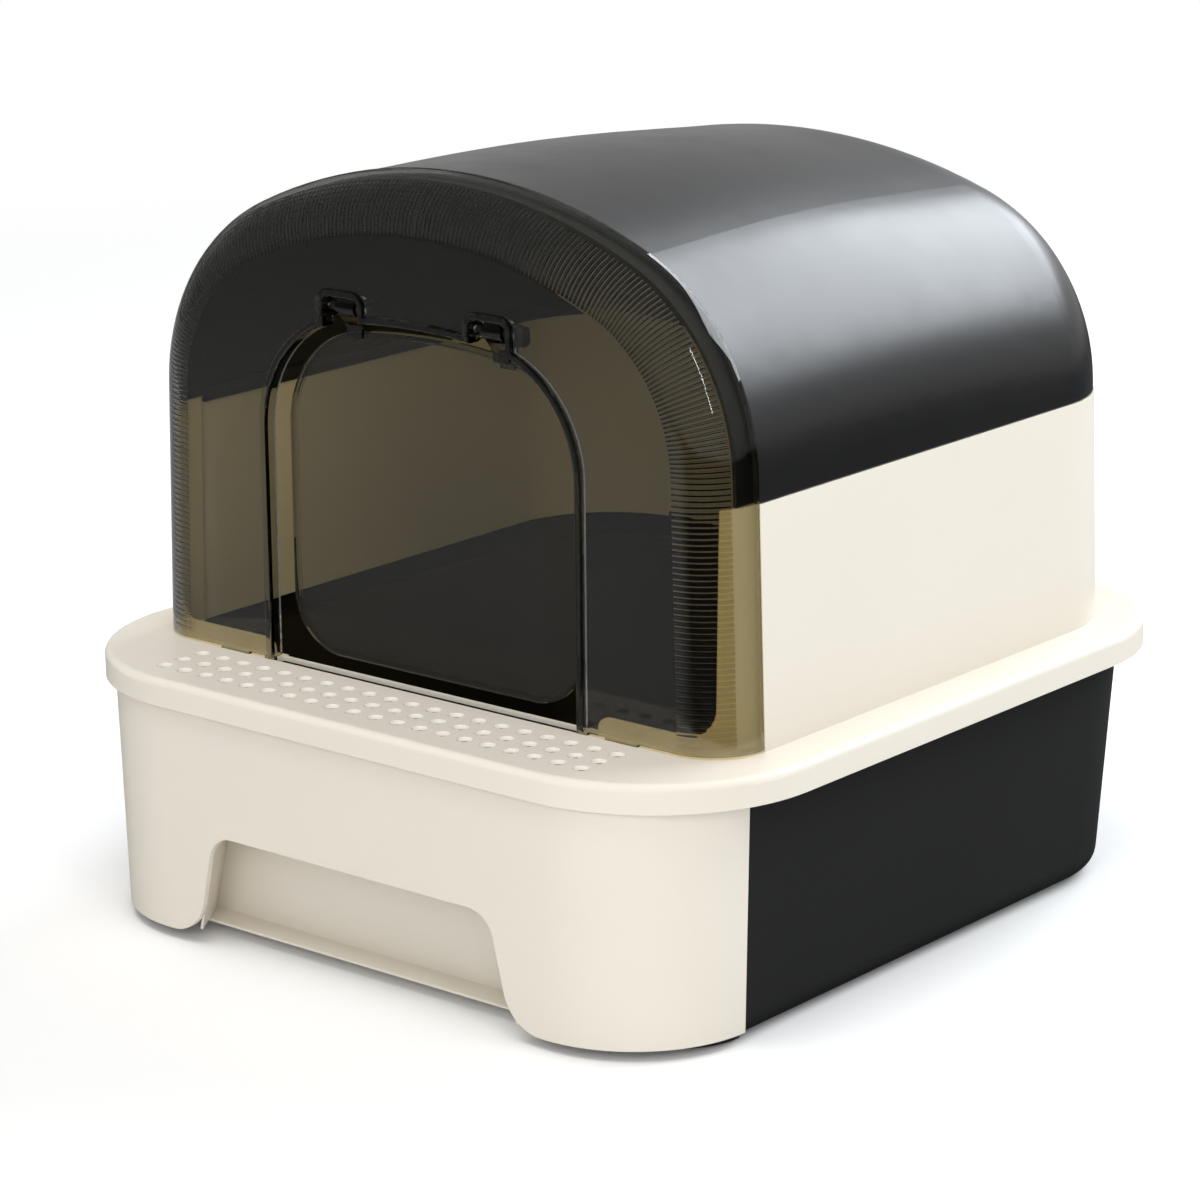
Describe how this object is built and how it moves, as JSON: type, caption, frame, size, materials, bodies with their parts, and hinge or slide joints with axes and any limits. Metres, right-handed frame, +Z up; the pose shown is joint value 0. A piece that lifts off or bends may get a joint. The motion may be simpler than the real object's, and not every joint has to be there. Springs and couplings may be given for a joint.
{
  "type": "hooded cat litter box",
  "caption": "Free-standing hooded cat litter box with a pull-out litter drawer, perforated treadle, arched roof and a see-through front with a swinging flap.",
  "frame": {"origin": "centre of the footprint on the floor", "axes": "+Z up, the door and drawer face -Y, +X to the viewer's right when facing the door"},
  "size_m": [0.461, 0.48, 0.4252],
  "materials": {
    "cream_plastic": "satin moulded polypropylene, warm off-white",
    "black_plastic": "fine matte black polypropylene",
    "pan_plastic": "smooth black polypropylene",
    "roof_plastic": "satin black polypropylene",
    "smoke_plastic": "see-through smoke-grey polystyrene, glossy",
    "soft_pad": "matt soft elastomer",
    "screw_steel": "zinc-plated steel"
  },
  "bodies": {
    "base": {"base_tub": "black_plastic", "foot_pads": "soft_pad"},
    "drawer": {"litter_pan": "pan_plastic", "drawer_fascia": "cream_plastic", "handle_pocket": "cream_plastic", "pocket_screws": "screw_steel"},
    "housing": {"middle_housing": "cream_plastic"},
    "roof": {"roof_cover": "roof_plastic"},
    "cover": {"front_cover": "smoke_plastic", "hinge_pin_left": "black_plastic", "hinge_pin_right": "black_plastic", "pin_retainers": "black_plastic"},
    "flap": {"door_flap": "smoke_plastic", "hinge_strap_left": "black_plastic", "hinge_strap_right": "black_plastic"}
  },
  "joints": [
    {"name": "drawer_slide", "type": "slide", "parent": "base", "child": "drawer", "axis": [0, -1, 0], "range_m": [0, 0.35]},
    {"name": "housing_lift", "type": "slide", "parent": "base", "child": "housing", "axis": [0, 0, 1], "range_m": [0, 0.08]},
    {"name": "roof_lift", "type": "slide", "parent": "housing", "child": "roof", "axis": [0, 0, 1], "range_m": [0, 0.1]},
    {"name": "cover_lift", "type": "slide", "parent": "roof", "child": "cover", "axis": [0, 0, 1], "range_m": [0, 0.03]},
    {"name": "flap_swing", "type": "hinge", "parent": "cover", "child": "flap", "pos_m": [0, -0.168, 0.35102], "axis": [1, 0, 0], "range_deg": [-60, 80]}
  ]
}
